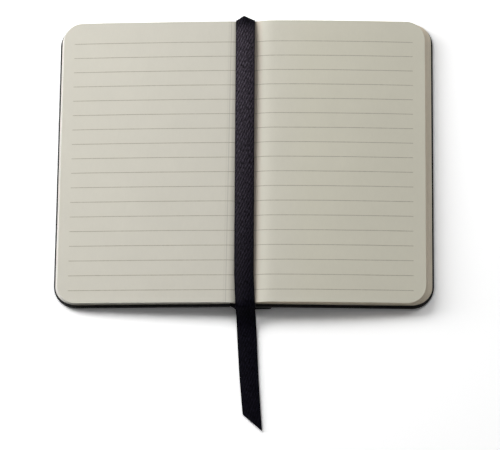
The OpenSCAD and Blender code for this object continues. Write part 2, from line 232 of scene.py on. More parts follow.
LEFT = SimpleNamespace(
    sign=-1, fore=left_fore_x, outer=left_fore_x - FORE_OVERHANG, hinge=front_hinge_x,
    edge_t=2.8, inner_t=1.95, belly=0.6, roll=3, fan=1.2, margin=5.2,
)
RIGHT = SimpleNamespace(
    sign=1, fore=right_fore_x, outer=right_fore_x + FORE_OVERHANG, hinge=back_hinge_x,
    edge_t=4, inner_t=3.45, belly=1.2, roll=7.2, fan=3.1, margin=5.9,
)
print("hinge lines:", front_hinge_x, round(back_hinge_x, 2), "height", round(hinge_z, 3))


# %% Heights of the leaves
def bell(way, reach):
    """A bell curve: one at no way, and about a third at its reach."""
    return np.exp(-((way / reach) ** 2))


def seat_z(side, x):
    """Face of the endpaper with the air above it: its slope times the way from the edge."""
    rise = np.abs(side.outer - x) * np.tan(TILT)
    return (BOARD_T + PASTE_T) / np.cos(TILT) + LEAF_GAP + rise


spine_z = seat_z(LEFT, front_hinge_x) - LEAF_GAP - SPINE_SINK
gutter_z = spine_z + FOLD_T


def share_out(side, x):
    """Share of the way from the gutter to the fore-edge, from 0 to 1."""
    return np.clip(np.abs(x - GUTTER_X) / abs(side.fore - GUTTER_X), 0, 1)


def top_z(side, x):
    """The stack on its seat, thinner or thicker outwards, with half a sine wave for its
    belly, brought down to the gutter's floor by a bell curve of the way from the floor."""
    u = share_out(side, x)
    thick = side.inner_t + (side.edge_t - side.inner_t) * u + side.belly * np.sin(np.pi * u)
    stack = seat_z(side, x) + thick
    way = np.maximum(0, np.abs(x - GUTTER_X) - FLOOR_HALF)
    return stack + (gutter_z - stack) * bell(way, side.roll)


def under_z(side, x):
    """On the endpaper outside the hinge line, level under the spine, and straight between."""
    bend = side.hinge + side.sign * HAIR
    slope = (np.abs(x) - LEVEL_HALF) / (abs(bend) - LEVEL_HALF)
    between = spine_z + (seat_z(side, bend) - spine_z) * np.clip(slope, 0, 1)
    return np.where(np.abs(x) >= abs(bend), seat_z(side, x), between)


def drawn_x(side, x, v):
    """A leaf at the share v of the stack is drawn back by the square of its way out."""
    return x - side.sign * side.fan * v * share_out(side, x) ** 2


def half_length(way_in):
    """Half the height of a leaf at a distance from its fore-edge, on a corner's arc."""
    arc = CORNER_R**2 - np.clip(CORNER_R - way_in, 0, CORNER_R) ** 2
    return PAGE_L / 2 - CORNER_R + np.sqrt(arc)


print("gutter floor at z", round(gutter_z, 3), "highest left", round(float(top_z(LEFT, -40)), 2))

# %% [markdown]
# ## Leaves
# A real block is dozens of sheets, and the eye catches the fine lines between them, not
# their number. Twenty-six leaves a side, each a ridge with a groove under it, give that
# look from geometry, and the material paints the grooves darker as shade. They are rings
# of points round one grid, so the block stays a single closed skin. Seeded random numbers
# give each leaf a small offset of its own, because no knife cuts two sheets alike.

# %% Columns across the book
LEAVES, WIDENING, SEED = 26, 1.4, 7
random = np.random.default_rng(SEED)


def columns_of(side, floor_n=5, bend_n=7, across_n=60, corner_n=20):
    """Places of x on the lowest leaf, from the gutter outwards: even steps to the hinge,
    steps that widen by a power over the page, and sine steps round the corner."""
    s = side.sign
    floor = GUTTER_X + s * FLOOR_HALF
    bend = side.hinge + s * HAIR
    corner = side.fore - s * CORNER_R
    share = np.linspace(0, 1, across_n, endpoint=False) ** WIDENING
    return np.concatenate([
        np.linspace(floor, s * LEVEL_HALF, floor_n, endpoint=False),
        np.linspace(s * LEVEL_HALF, bend, bend_n, endpoint=False),
        bend + (corner - bend) * share,
        side.fore - s * CORNER_R * (1 - np.sin(np.linspace(0, np.pi / 2, corner_n))),
    ])


left_x, right_x = columns_of(LEFT), columns_of(RIGHT)
print("columns:", len(left_x), len(right_x))


def smooth_noise(shape, spans, strength):
    """Smooth random values over a grid: coarse random knots joined by cosine steps."""
    made = random.standard_normal([n + 2 for n in spans])
    for axis, (n, knots) in enumerate(zip(shape, spans)):
        t = np.linspace(0, knots, n)
        low = t.astype(int)
        f = (1 - np.cos(np.pi * (t - low))) / 2
        f = f.reshape([-1 if a == axis else 1 for a in range(made.ndim)])
        made = np.take(made, low, axis) * (1 - f) + np.take(made, low + 1, axis) * f
    return made * strength


# %% The block under the top leaves
LEAF_T, BLOCK_GAP, ROWS = 0.11, 0.05, 46
# Levels down each leaf: two on its cut edge and one in the groove below it
LEVELS, GROOVE_IN, EDGE_IN = np.array([0.12, 0.7, 0.94]), 0.16, 0.04
SLOW_DRIFT, DRIFT_KNOTS, LEAF_DRIFT, MOST_DRIFT = 0.05, 24, 0.035, 0.1


def block_grid(v):
    """Grid (rows, columns, 3) of a leaf at the share v, over the whole open book."""
    halves = []
    for side, x0 in ((LEFT, left_x[::-1]), (RIGHT, right_x)):
        x = drawn_x(side, x0, v)
        low = under_z(side, x0)
        high = top_z(side, drawn_x(side, x0, 1)) - LEAF_T - BLOCK_GAP
        half = half_length(np.abs(drawn_x(side, side.fore, v) - x))
        halves.append(np.stack([x, half, low + (high - low) * v]))
    x, half, z = np.concatenate(halves, 1)
    return stacked(x, half * np.linspace(-1, 1, ROWS)[:, None], z)


def sideways(along):
    """Unit vectors in a plane, a quarter turn clockwise from the directions given."""
    return unit(stacked(along[..., 1], -along[..., 0]))


upper, lower = block_grid(1), block_grid(0)
border = border_of(*upper.shape[:2])
high, low = upper.reshape(-1, 3)[border], lower.reshape(-1, 3)[border]
v = 1 - (np.arange(LEAVES)[:, None] + LEVELS).ravel() / LEAVES
groove = np.tile([0.0, 0.0, 1.0], LEAVES)
drift = smooth_noise((LEAVES, len(border)), (LEAVES - 1, DRIFT_KNOTS), SLOW_DRIFT)
drift += random.standard_normal((LEAVES, 1)) * LEAF_DRIFT
drift = np.repeat(drift, len(LEVELS), 0)
ring = low + (high - low) * v[:, None, None]
push = np.minimum(drift, MOST_DRIFT) - GROOVE_IN * groove[:, None] - EDGE_IN
outward = sideways(np.roll(ring, -1, 1) - np.roll(ring, 1, 1))
ring[..., :2] += outward * push[..., None]
# Each leaf's mask is half a random tone and half painted light, which makes the lower leaves
# paler.
leaf_tone_and_light = (np.repeat(random.random(LEAVES), len(LEVELS)) + 1 - v) / 2
count = 2 * upper[..., 0].size
shade = np.concatenate([np.full(count, 0.5), np.repeat(leaf_tone_and_light, len(border))])
# The groove mask marks where the cut edges are painted darker as shade between the leaves.
groove_shade_mask = np.concatenate([np.zeros(count), np.repeat(groove, len(border))])
block = slab("leaf_block", upper, lower, ring, masks={"leaf": shade, "groove": groove_shade_mask})

# %% [markdown]
# ## Top leaves
# The leaf on top of each stack is the one that the photograph shows, so it is a sheet of
# its own, about a tenth of a millimetre thick. It lifts a hair at its fore-edge, as a page
# does when it has just been turned, and it carries the faint wave of handled paper. The
# left one has a soft double crease beside the ribbon. One function of x and y gives its
# height, and the printed lines use the same function, so they can't sink into the paper.


# %% Height of a top leaf
CREASE_X, CREASE_LEAN, CREASES_APART = -8.27, 0.0085, 1.0
CREASE_HALF, CREASE_DEEP, WAVE_H = 0.3, 0.05, 0.016
LIFT, CORNER_LIFT, CORNER_REACH = 0.10, 0.16, 40


def wave_z(side, x, y):
    """Slow waves of a few hundredths of a millimetre: products of sines in x and y,
    faded to nothing at the gutter and held down so that no crest passes the solid."""
    u = share_out(side, x)
    wave = np.sin(x / 9.0 + y / 31.0) * np.cos(y / 17.0 - x / 40.0)
    wave += 0.6 * np.sin(y / 6.1 + x / 23.0 + side.sign)
    return (wave - 1.6) * WAVE_H * np.clip(4 * u, 0, 1)


def crease_z(x, y):
    """Two shallow troughs side by side, each a bell curve. The deeper one runs beside the
    ribbon and nears it a little towards the head."""
    way = x - CREASE_X - CREASE_LEAN * y
    return -CREASE_DEEP * (bell(way, CREASE_HALF) + bell(way + CREASES_APART, CREASE_HALF) / 2)


def lift_z(side, x, y):
    """A rise with the sixth power of the way out, most at the tail corner."""
    return share_out(side, x) ** 6 * (LIFT + CORNER_LIFT * bell(y + PAGE_L / 2, CORNER_REACH))


def leaf_z(side, x, y):
    """Face of the top leaf: the stack's top with its wave, crease and lift."""
    z = top_z(side, x) + wave_z(side, x, y) + lift_z(side, x, y)
    return z + crease_z(x, y) if side is LEFT else z


# %% The two top leaves
LEAF_ROWS, FOLD_IN = 141, 0.06


def top_leaf(name, side, floor_n, bend_n):
    """Sheet from the fold to the fore-edge, with its rows on the arc of its corners."""
    places = columns_of(side, floor_n, bend_n, across_n=110, corner_n=24)
    fold = GUTTER_X + side.sign * FOLD_IN
    x0 = np.concatenate([np.linspace(fold, places[0], 3, endpoint=False), places])
    x = drawn_x(side, x0, 1)
    half = half_length(np.abs(drawn_x(side, side.fore, 1) - x))
    y = half * np.linspace(-1, 1, LEAF_ROWS)[:, None]
    face = stacked(x, y, leaf_z(side, x, y))
    return slab(name, face, face - [0, 0, LEAF_T])


left_leaf = top_leaf("left_top_leaf", LEFT, floor_n=6, bend_n=16)
right_leaf = top_leaf("right_top_leaf", RIGHT, floor_n=8, bend_n=14)

# %% [markdown]
# ## Printed lines
# Each page has eighteen pale grey lines. On paper they have no thickness, and they could
# be a mask in the paper's material. Thin bands of their own keep them a named piece,
# with the ink's finish. A band is a flat tube: four corners carried along x, three
# hundredths of a millimetre over the leaf.

# %% Bands of ink
LINE_PITCH, FIRST_LINE, FOOT_MARGIN = 7.26, 10.5, 5
LINE_W, LINE_RISE, LINE_SUNK, LINE_WANDER, LINE_SWELL = 0.3, 0.03, 0.02, 0.02, 0.06
LINE_UNDER, LINE_WIDENING, WANDER_KNOTS, SWELL_KNOTS = 1, 1.3, 9, 30
RIBBON_W, RIBBON_X = 9.4, -0.5
line_count = 1 + int((PAGE_L - FIRST_LINE - FOOT_MARGIN) // LINE_PITCH)
line_y = PAGE_L / 2 - FIRST_LINE - LINE_PITCH * np.arange(line_count)


def line_rings(side, n=70):
    """Rings (lines, n, 4, 3) of a side: the section's corners at n places along each line,
    from under the ribbon's edge to the page's margin."""
    start = RIBBON_X + side.sign * (RIBBON_W / 2 - LINE_UNDER)
    end = drawn_x(side, side.fore, 1) - side.sign * side.margin
    x = (start + (end - start) * np.linspace(0, 1, n) ** LINE_WIDENING)[:, None]
    wander = smooth_noise((line_count, n), (line_count - 1, WANDER_KNOTS), LINE_WANDER)
    swell = smooth_noise((line_count, n), (line_count - 1, SWELL_KNOTS), LINE_SWELL)
    half = LINE_W / 2 * (1 + swell)
    y = (line_y[:, None] + wander)[..., None] + half[..., None] * [-1, 1, 1, -1]
    z = leaf_z(side, x, line_y[:, None, None]) + [-LINE_SUNK, -LINE_SUNK, LINE_RISE, LINE_RISE]
    return stacked(x, y, z)[:, ::side.sign]


ruling = tubes("printed_lines", np.concatenate([line_rings(LEFT), line_rings(RIGHT)]))

# %% [markdown]
# ## Stitches
# The middle fold shows five long stitches of thread. A single smooth tube would look
# like wire, so each stitch is two strands twisted round each other. A strand is a circle
# carried along a helix, and its ends dip into the paper, where the needle went through.

# %% Twisted strands
STITCHES, STITCH_L, THREAD_D, DIP, DIP_SHARE = 5, 14, 0.5, 0.35, 0.05
TURNS, STRAND_N, ROUND_N = 9, 90, 8
t = np.linspace(0, 1, STRAND_N)
phase = 2 * np.pi * TURNS * t[None] + np.pi * np.arange(2)[:, None]
STRAND_OFF, STRAND_R = THREAD_D * 0.24, THREAD_D * 0.26
middle_y = ((np.arange(STITCHES) + 0.5) / STITCHES - 0.5) * PAGE_L
dip = DIP * np.clip(1 - np.minimum(t, 1 - t) / DIP_SHARE, 0, 1) ** 2
angle = np.linspace(0, 2 * np.pi, ROUND_N, endpoint=False)
x = (GUTTER_X + STRAND_OFF * np.cos(phase))[..., None] + STRAND_R * np.cos(angle)
y = (middle_y[:, None] + STITCH_L * (t - 0.5))[:, None, :, None]
z = (gutter_z + THREAD_D / 2 + STRAND_OFF * np.sin(phase) - dip)[..., None]
z = z + STRAND_R * np.sin(angle)
rings = stacked(x, y, z).reshape(-1, STRAND_N, ROUND_N, 3)
stitches = tubes("stitches", rings, sharp=False)

# %% [markdown]
# ## Ribbon
# The marker is a narrow woven ribbon, glued under the spine's lining. It folds over the
# head edge, lies in the gutter, drops over the tail edge and runs out on the table. A
# cloth simulation would need pins all along to keep this lie, so the ribbon is swept
# along the solid's own route, with a cross curve that is crowned, a little banked, and
# thicker at its two woven edges. Its UV map is the flat ribbon in millimetres, so the
# weave follows the cloth.

# %% Route of the ribbon
RIBBON_T, RIBBON_LEAN, RIBBON_DRIFT = 0.35, np.radians(0.3), np.radians(2.6)
RIBBON_TAIL, RIBBON_CUT, BANK, TIP_Z = 61, 8.5, 0.6, 0.5
HEAD_Y, TAIL_Y = PAGE_L / 2, -PAGE_L / 2
glue_z = spine_z - LINING_T - RIBBON_T / 2 - HAIR
left_edge_x = RIBBON_X - PAGE_L / 2 * np.tan(RIBBON_LEAN) - RIBBON_W / 2
run_z = float(top_z(LEFT, left_edge_x)) + BANK + RIBBON_T / 2 + HAIR
end_y = TAIL_Y - RIBBON_TAIL
# Sideways curl at the tip, and where the fold's ridge runs, from -1 to 1 across the ribbon
TIP_CURL, RIDGE, RIDGE_SOFT = 0.7, -0.17, 0.004
# Across the ribbon, from 0 to 1: where its rim and its thicker woven edge begin
RIM_FROM, SELVEDGE_AT, SELVEDGE_REACH, SELVEDGE_MORE = 0.965, 0.93, 0.045, 0.22
# Share of its half thickness between the woven edges, and half a step to take tangents
BODY_SHARE, TANGENT_STEP = 0.9, 0.02

# Middle line: y, z, crown of the cross curve, rise of the right edge, peak at the head
route = np.array([
    [HEAD_Y - 14, glue_z, 0, 0, 0],
    [HEAD_Y - 7, glue_z, 0, 0, 0],
    [HEAD_Y - 1, glue_z, 0, 0, 0.2],
    [HEAD_Y + 0.3, glue_z + 0.7, 0.9, 0, 0.7],
    [HEAD_Y + 0.5, glue_z + 2.2, 2.3, 0, 1],
    [HEAD_Y + 0.3, run_z - 1, 2.5, 0.1, 1],
    [HEAD_Y - 1, run_z, 1.4, 0.3, 0.6],
    [HEAD_Y - 6, run_z + 0.15, 0.9, BANK + 0.1, 0],
    # On the pages its right edge rises as much as its middle: y, rise
    *([y, run_z + rise, 0.9, BANK + rise, 0] for y, rise in (
        (HEAD_Y - 16, 0.35), (HEAD_Y - 40, 0.35), (0, 0.25), (TAIL_Y + 40, 0.2),
        (TAIL_Y + 18, 0.15), (TAIL_Y + 5, 0),
    )),
    # On the loose end it drops to the table: way past the tail edge, share, crown, bank
    *([TAIL_Y - way, run_z + (TIP_Z - run_z) * share, crown, bank, 0]
      for way, share, crown, bank in (
        (0.6, 0.02, 0.9, 0.3), (3, 0.25, 0.8, 0.3), (5.5, 0.58, 0.7, 0.3),
        (8.5, 0.84, 0.6, 0.25), (12.5, 0.95, 0.5, 0.2), (20, 0.985, 0.4, 0.15),
        ((20 + RIBBON_TAIL) / 2, 0.995, 0.35, 0.12), (RIBBON_TAIL, 1, 0.3, 0.12),
    )),
])


def on_route(t):
    """Smooth curve through the points: cubic pieces, each with its tangents set by the
    two points beside it, at the whole and the fractional part of t."""
    n = len(route) - 1
    i = np.clip(t.astype(int), 0, n - 1)
    f = (t - i)[:, None]
    a, b = route[np.maximum(i - 1, 0)], route[i]
    c, d = route[i + 1], route[np.minimum(i + 2, n)]
    bend = (2 * a - 5 * b + 4 * c - d) * f**2 + (3 * b - a - 3 * c + d) * f**3
    return 0.5 * (2 * b + (c - a) * f + bend)


def even_steps(step):
    """Places t on the route at even distances along it, from its summed length."""
    t = np.linspace(0, len(route) - 1, 4001)
    line = on_route(t)[:, :2]
    length = np.concatenate([[0], np.cumsum(np.linalg.norm(np.diff(line, axis=0), axis=1))])
    wanted = np.linspace(0, length[-1], int(length[-1] / step) + 1)
    return np.interp(wanted, length, t), wanted


# %% The ribbon's skin
def share_down(y, start, end):
    """Share of the way from one height on the page down to a lower one, from 0 to 1."""
    return np.clip((start - y) / (start - end), 0, 1)


def ribbon_rings(step=0.5, across_n=30):
    """Rings (n, m, 3) and the flat map. Each ring runs across the top face and back
    under it; its points stand off the middle line by the crown and half the thickness,
    along the normal of the route."""
    t, length = even_steps(step)
    p = on_route(t)
    steps = TANGENT_STEP, -TANGENT_STEP
    ahead, behind = (on_route(np.clip(t + step, 0, len(route) - 1)) for step in steps)
    normal = sideways((ahead - behind)[:, :2])
    y, z, crown, bank, peak = p.T
    drift_y, cut_y, curl_y = TAIL_Y + 14, TAIL_Y - 14, TAIL_Y - 25
    middle = RIBBON_X - y * np.tan(RIBBON_LEAN)
    middle += np.maximum(0, drift_y - y) * np.tan(RIBBON_DRIFT)
    middle += TIP_CURL * share_down(y, curl_y, end_y) ** 2
    turn = RIBBON_LEAN + RIBBON_DRIFT * share_down(y, drift_y, TAIL_Y)
    angle = np.linspace(0, np.pi, across_n)
    v = np.concatenate([-np.cos(angle), np.cos(angle)[1:-1]])
    face = np.concatenate([np.ones(across_n), -np.ones(across_n - 2)])
    rim = np.sqrt(1 - np.clip((np.abs(v) - RIM_FROM) / (1 - RIM_FROM), 0, 1) ** 2)
    selvedge = 1 + SELVEDGE_MORE * bell(np.abs(v) - SELVEDGE_AT, SELVEDGE_REACH)
    lift = face * RIBBON_T / 2 * rim * selvedge * BODY_SHARE
    from_ridge = (v - RIDGE) / (1 - RIDGE * np.sign(v - RIDGE))
    ridged, round_top = 1 - np.sqrt(from_ridge**2 + RIDGE_SOFT), 1 - v**2
    out = crown[:, None] * (round_top + peak[:, None] * (ridged - round_top)) + lift
    reach = v * RIBBON_W / 2
    cut = RIBBON_CUT * share_down(y, cut_y, end_y)[:, None] * (1 - v) / 2
    x = middle[:, None] + reach * np.cos(turn)[:, None]
    yy = y[:, None] + normal[:, :1] * out + reach * np.sin(turn)[:, None] + cut
    zz = z[:, None] + normal[:, 1:] * out + v * bank[:, None]
    flat = stacked(reach + RIBBON_W / 2, length[:, None] - cut)
    return stacked(x, yy, zz), flat.reshape(-1, 2), length[-1], np.abs(v)


rings, flat, ribbon_length, from_middle = ribbon_rings()
masks = {"selvedge": np.tile(from_middle, len(rings))}
ribbon = tubes("ribbon", rings[None], uv=flat, masks=masks, sharp=False)
print("ribbon length in mm:", round(float(ribbon_length), 1))

# %% [markdown]
# ## Boards
# A cover is a stiff board wrapped in black leatherette, so its edges are soft and its
# outer corners are round. The wrap is turned in over the edge, and gathers in small
# pleats round the corners. A ring of points runs once round the board, and a profile
# carries it from the inner face over the edge to the outer face. That gives true round
# edges without a bevel.

# %% Rings round a board
CORNER_STEPS, EDGE_R, HINGE_CORNER_R, LEAST_R = 61, 0.5, 0.7, 0.02
PLEATS, PLEAT_DEEP, PLEAT_IN, PLEAT_REACH, WEAR_REACH = 9, 0.1, 1.5, 1.0, 0.5


def board_rings(inset):
    """Rings (insets, 4 * steps, 2) round a board, in its own plane: for each inset the
    corner arcs lose that much radius, and their centres stay inside the rectangle."""
    radius = np.array([HINGE_CORNER_R, board_r, board_r, HINGE_CORNER_R])
    sx, sy = np.array([1, -1, -1, 1]), np.array([1, 1, -1, -1])
    inset = np.asarray(inset, float)[:, None]
    r = np.maximum(radius - inset, LEAST_R)
    cx = sx * (board_w / 2 - inset - r) + board_w / 2
    cy = sy * (board_l / 2 - inset - r)
    turn = np.linspace(0, np.pi / 2, CORNER_STEPS)
    angle = (np.array([0, 0.5, 1, 1.5]) * np.pi)[:, None] + turn
    x = cx[..., None] + r[..., None] * np.cos(angle)
    y = cy[..., None] + r[..., None] * np.sin(angle)
    return stacked(x, y).reshape(len(inset), -1, 2)


def board_profile():
    """Insets and heights from the middle of the inner face, round the edge in two
    quarter circles, to the middle of the outer face."""
    face = np.array([40, 24, 12, 6, 3, 2.2, 1.6, 1.2, 0.9])
    turn = np.linspace(0, np.pi / 2, 6)
    out, down = EDGE_R * (1 - np.sin(turn)), EDGE_R * (1 - np.cos(turn))
    inset = np.concatenate([face, out, down, face[::-1]])
    top, bottom = np.full_like(face, BOARD_T), np.zeros_like(face)
    return inset, np.concatenate([top, BOARD_T - down, out, bottom])


def on_board(side, a, y, h):
    """Puts points of a board at their place: turned by the tilt about its outer edge,
    where a runs from that edge to the hinge and h stands on the outer face."""
    x = side.outer - side.sign * (a * np.cos(TILT) - h * np.sin(TILT))
    return stacked(x, y - COVER_SLIP, a * np.sin(TILT) + h * np.cos(TILT))


def wrapped_board(name, side):
    """The board's skin, with pleats: shallow waves round the outer corners of the
    turned-in rim that fade towards the edge and inwards."""
    inset, height = board_profile()
    ring = board_rings(inset)
    h = np.repeat(height[:, None], ring.shape[1], 1)
    share = np.linspace(0, 1, CORNER_STEPS)
    pleat = np.zeros(ring.shape[1])
    wave = (1 - np.cos(2 * np.pi * PLEATS * share)) / 2
    pleat[CORNER_STEPS:3 * CORNER_STEPS] = np.tile(wave, 2)
    inner = np.arange(len(inset)) < len(inset) // 2
    h -= PLEAT_DEEP * (inner * bell(inset - PLEAT_IN, PLEAT_REACH))[:, None] * pleat
    points = on_board(side, ring[..., 0], ring[..., 1], h)
    wear = np.repeat(bell(inset, WEAR_REACH), ring.shape[1])
    return tubes(name, points[None], masks={"wear": wear})


front_board = wrapped_board("front_board", LEFT)
back_board = wrapped_board("back_board", RIGHT)

# %% [markdown]
# ## Spine
# The spine is a stiff strip flat on the table, in the same leatherette. On the left its
# joint climbs to the front board. On the right the slack of the joint is rolled back
# under the back board, which the photograph shows as a dark lens below the tail edge.
# Each is a rounded section carried along y. At both ends the section shrinks a little
# over the last third of a millimetre, so that the turned-in end is soft.


# %% Sections along the spine
def quadratic(a, b, c, s):
    """The curve that leaves a towards b and comes to c from b, at the shares s of it."""
    return (1 - s) ** 2 * a + 2 * s * (1 - s) * b + s**2 * c


def rounded(corners, steps=7):
    """Closed section through corners (x, z, radius), each rounded by a quadratic curve
    between the points at its radius before and after it. Returns the points and outward
    normals for corners that run anticlockwise."""
    corner, r = np.split(np.asarray(corners, float), [2], 1)
    before, after = unit(corner - np.roll(corner, 1, 0)), unit(np.roll(corner, -1, 0) - corner)
    s = np.linspace(0, 1, steps)[None, :, None]
    a, b, c = (corner - r * before)[:, None], corner[:, None], (corner + r * after)[:, None]
    outward = sideways((1 - s) * (b - a) + s * (c - b))
    return quadratic(a, b, c, s).reshape(-1, 2), outward.reshape(-1, 2)


BODY_N, END_DRAW, SOFT_R, CRISP_R, SKIN_R = 60, 0.8, 0.3, 0.05, 0.12


def swept(name, section, normal, length, end_r=SOFT_R):
    """Section in x and z carried along y, with both ends drawn in on a quarter circle."""
    turn = np.linspace(np.pi / 2, 0, 5)[1:]
    end_y = length / 2 - end_r * (1 - np.cos(turn))
    draw = END_DRAW * end_r * (1 - np.sin(turn))
    body = np.linspace(-1, 1, BODY_N) * (length / 2 - end_r)
    y = np.concatenate([-end_y[::-1], body, end_y])
    draw = np.concatenate([draw[::-1], np.zeros(BODY_N), draw])
    plan = section - draw[:, None, None] * normal
    return tubes(name, stacked(plan[..., 0], y[:, None] - COVER_SLIP, plan[..., 1])[None])


SKIN_T, SKIN_PLAY, BED_W, BED_SLOPE, OFF_TABLE = 0.28, 0.02, 1.4, 0.1, 0.01
half, lip_l = SPINE_W / 2, board_l - 2 * JOINT_SETBACK
lip_x, lip_z = front_hinge_x + HAIR, hinge_z - 2 * HAIR
# A shallow recess under the strip's right edge takes a skin
skin_bed = SKIN_T + SKIN_PLAY
strip = swept("spine_strip_cover", *rounded([
    (-half, 0, SOFT_R), (half - BED_W, 0, CRISP_R), (half - BED_W + BED_SLOPE, skin_bed, CRISP_R),
    (half, skin_bed, CRISP_R), (half, SPINE_T, SOFT_R), (-half, SPINE_T, SOFT_R),
]), board_l)
front_lip = swept("front_joint_lip", *rounded([
    (-half, OFF_TABLE, SOFT_R), (JOINT_T - half, OFF_TABLE, CRISP_R),
    (JOINT_T - half, SPINE_T, SOFT_R), (lip_x + JOINT_T, lip_z, SKIN_R), (lip_x, lip_z, SKIN_R),
]), lip_l)


# %% Rear joint and the skins over the two hinges
def strip_section(path, thick, steps=6):
    """Section of a bent sheet: the path moved out by half the thickness on one side, and
    back on the other, with a round cap at each end."""
    along = unit(np.gradient(path, axis=0))
    normal = sideways(along)
    turn = np.linspace(0, np.pi, steps + 2)[1:-1, None]
    cap_start = (np.cos(turn) * normal[0] - np.sin(turn) * along[0])[::-1]
    cap_end = np.cos(turn) * normal[-1] + np.sin(turn) * along[-1]
    outward = np.concatenate([normal, cap_end, -normal[::-1], cap_start])
    ends = [np.tile(path[i], (steps, 1)) for i in (-1, 0)]
    return np.concatenate([path, ends[0], path[::-1], ends[1]]) + thick / 2 * outward, outward


def board_under(x):
    """Underside of the back board over the table, less a hair."""
    return (RIGHT.outer - x) * np.tan(TILT) - HAIR


# Middle line of the slack joint: out along the table, round, and back under the board
joint_x, turn_x = back_hinge_x + HAIR + JOINT_T / 2, back_hinge_x + REAR_ROLL
outer_r = board_under(turn_x) / 2
bend_x, r = turn_x - outer_r, outer_r - JOINT_T / 2
turn = np.linspace(-np.pi / 2, np.pi / 2, 20)
x_out = np.linspace(joint_x, bend_x, 12, endpoint=False)
x_back = np.linspace(bend_x, joint_x, 10)[1:]
z_back = board_under(x_back) - JOINT_T / 2
z_back += (outer_r + r - z_back[0]) * np.linspace(1, 0, len(z_back))
path = np.concatenate([
    stacked(x_out, JOINT_T / 2),
    stacked(bend_x + r * np.cos(turn), outer_r + r * np.sin(turn)),
    stacked(x_back, z_back),
])
section, normal = strip_section(path, JOINT_T)
# The skin of the hinge lies in a recess under the start of the joint
RECESS_W, RECESS_SLOPE, SKIN_IN, SKIN_OUT = 1.7, 0.3, 1.28, 1.4
x, z = section.T
recess = np.clip((back_hinge_x + RECESS_W - x) / RECESS_SLOPE, 0, 1) * (z < JOINT_T / 2)
section[:, 1] = np.maximum(z, skin_bed * recess)
rear_joint = swept("rear_joint_cover", section, normal, board_l)

rear_x = back_hinge_x + np.linspace(-SKIN_IN, SKIN_OUT, 28)
path = stacked(rear_x, skin_bed / 2)
rear_skin = swept("rear_hinge_skin", *strip_section(path, SKIN_T), board_l, SKIN_R)

# The front skin runs up the outside of the lip, bends, and goes on under the board
FOOT_UP, SHOULDER_DOWN, BOARD_FROM, BOARD_TO, SKIN_SHORTER = 1.1, 0.3, 0.75, 4, 0.4
lip, off = unit(np.array([lip_x + half, lip_z])), SKIN_T / 2 + SKIN_PLAY
foot = [-half, 0] + FOOT_UP * lip - off * sideways(lip)
shoulder = [lip_x, lip_z] - SHOULDER_DOWN * lip - off * sideways(lip)
board_start, board_end = (
    np.array([front_hinge_x - way, hinge_z - way * np.tan(TILT) - off])
    for way in (BOARD_FROM, BOARD_TO)
)
corner = np.array([shoulder[0] - SKIN_PLAY, board_start[1]])
path = np.concatenate([
    np.linspace(foot, shoulder, 8, endpoint=False),
    quadratic(shoulder, corner, board_start, np.linspace(0, 1, 14)[:, None]),
    np.linspace(board_start, board_end, 8)[1:],
])
section = strip_section(path, SKIN_T)
front_skin = swept("front_hinge_skin", *section, lip_l - SKIN_SHORTER, SKIN_R)

# %% [markdown]
# ## Shader nodes
# The finishes share a few effects: paper fibre, a woven pattern and a pebbled grain. Each
# is a node group, built once, with its sockets named for what they do, and each material
# places it with numbers of its own. What a node puts out is held as a value, and Python's
# signs between values add Math nodes, so that the shaders read as formulas.


# %% Node helpers
class Value:
    """An output of a node. Each sum, difference, product or quotient adds a Math node."""

    def __init__(self, socket):
        self.socket, self.tree = socket, socket.id_data

    def math(self, operation, *others):
        """One Math node, with this value first."""
        inputs = dict(enumerate((self, *others)))
        return node(self.tree, "ShaderNodeMath", inputs, operation=operation)

    __add__ = partialmethod(math, "ADD")
    __sub__ = partialmethod(math, "SUBTRACT")
    __mul__ = partialmethod(math, "MULTIPLY")
    __truediv__ = partialmethod(math, "DIVIDE")
    __abs__ = partialmethod(math, "ABSOLUTE")


def feed(made, inputs):
    """Links values to the inputs of a node, and sets constants on them."""
    for key, value in inputs.items():
        if isinstance(value, Value):
            value.tree.links.new(value.socket, made.inputs[key])
        else:
            made.inputs[key].default_value = value


def node(tree, kind, inputs=None, out=0, **settings):
    """Adds a node with its settings and inputs, and gives one of its outputs."""
    made = tree.nodes.new(kind)
    for key, value in settings.items():
        setattr(made, key, value)
    feed(made, inputs or {})
    return Value(made.outputs[out])


def outputs(value):
    """All the outputs of the node that a value comes from, by name."""
    return {socket.name: Value(socket) for socket in value.socket.node.outputs}


def parts(place):
    """The x, y and z of a place."""
    return outputs(node(place.tree, "ShaderNodeSeparateXYZ", {0: place})).values()


def mixed(share, a, b, blend="MIX"):
    """Two colours mixed by a share, which is a value or a number."""
    tree = next(value.tree for value in (share, a, b) if isinstance(value, Value))
    inputs = {"Factor": share, 6: a, 7: b}
    return node(tree, "ShaderNodeMix", inputs, out=2, data_type="RGBA", blend_type=blend)


def spread(value, low, high, new_low=0.0, new_high=1.0):
    """A value stretched from one range to another and held inside it."""
    inputs = {0: value, 1: low, 2: high, 3: new_low, 4: new_high}
    return node(value.tree, "ShaderNodeMapRange", inputs)


def mapped(place, stretch, turn=0.0):
    """A place stretched along its axes and then turned about z."""
    return node(place.tree, "ShaderNodeMapping", {0: place, 2: (0, 0, turn), 3: stretch})


def noise(place, scale, detail=3.0, roughness=0.55):
    """Soft noise at a scale in waves to the unit of the place."""
    inputs = {"Vector": place, "Scale": scale, "Detail": detail, "Roughness": roughness}
    return node(place.tree, "ShaderNodeTexNoise", inputs)


def group(name, inputs, results):
    """An empty node group with its sockets, as its given values and its output node."""
    tree = bpy.data.node_groups.new(name, "ShaderNodeTree")
    for label, kind, value in inputs:
        socket = tree.interface.new_socket(label, in_out="INPUT", socket_type=kind)
        if value is not None:
            socket.default_value = value
    for label, kind in results:
        tree.interface.new_socket(label, in_out="OUTPUT", socket_type=kind)
    return outputs(node(tree, "NodeGroupInput")), tree.nodes.new("NodeGroupOutput")


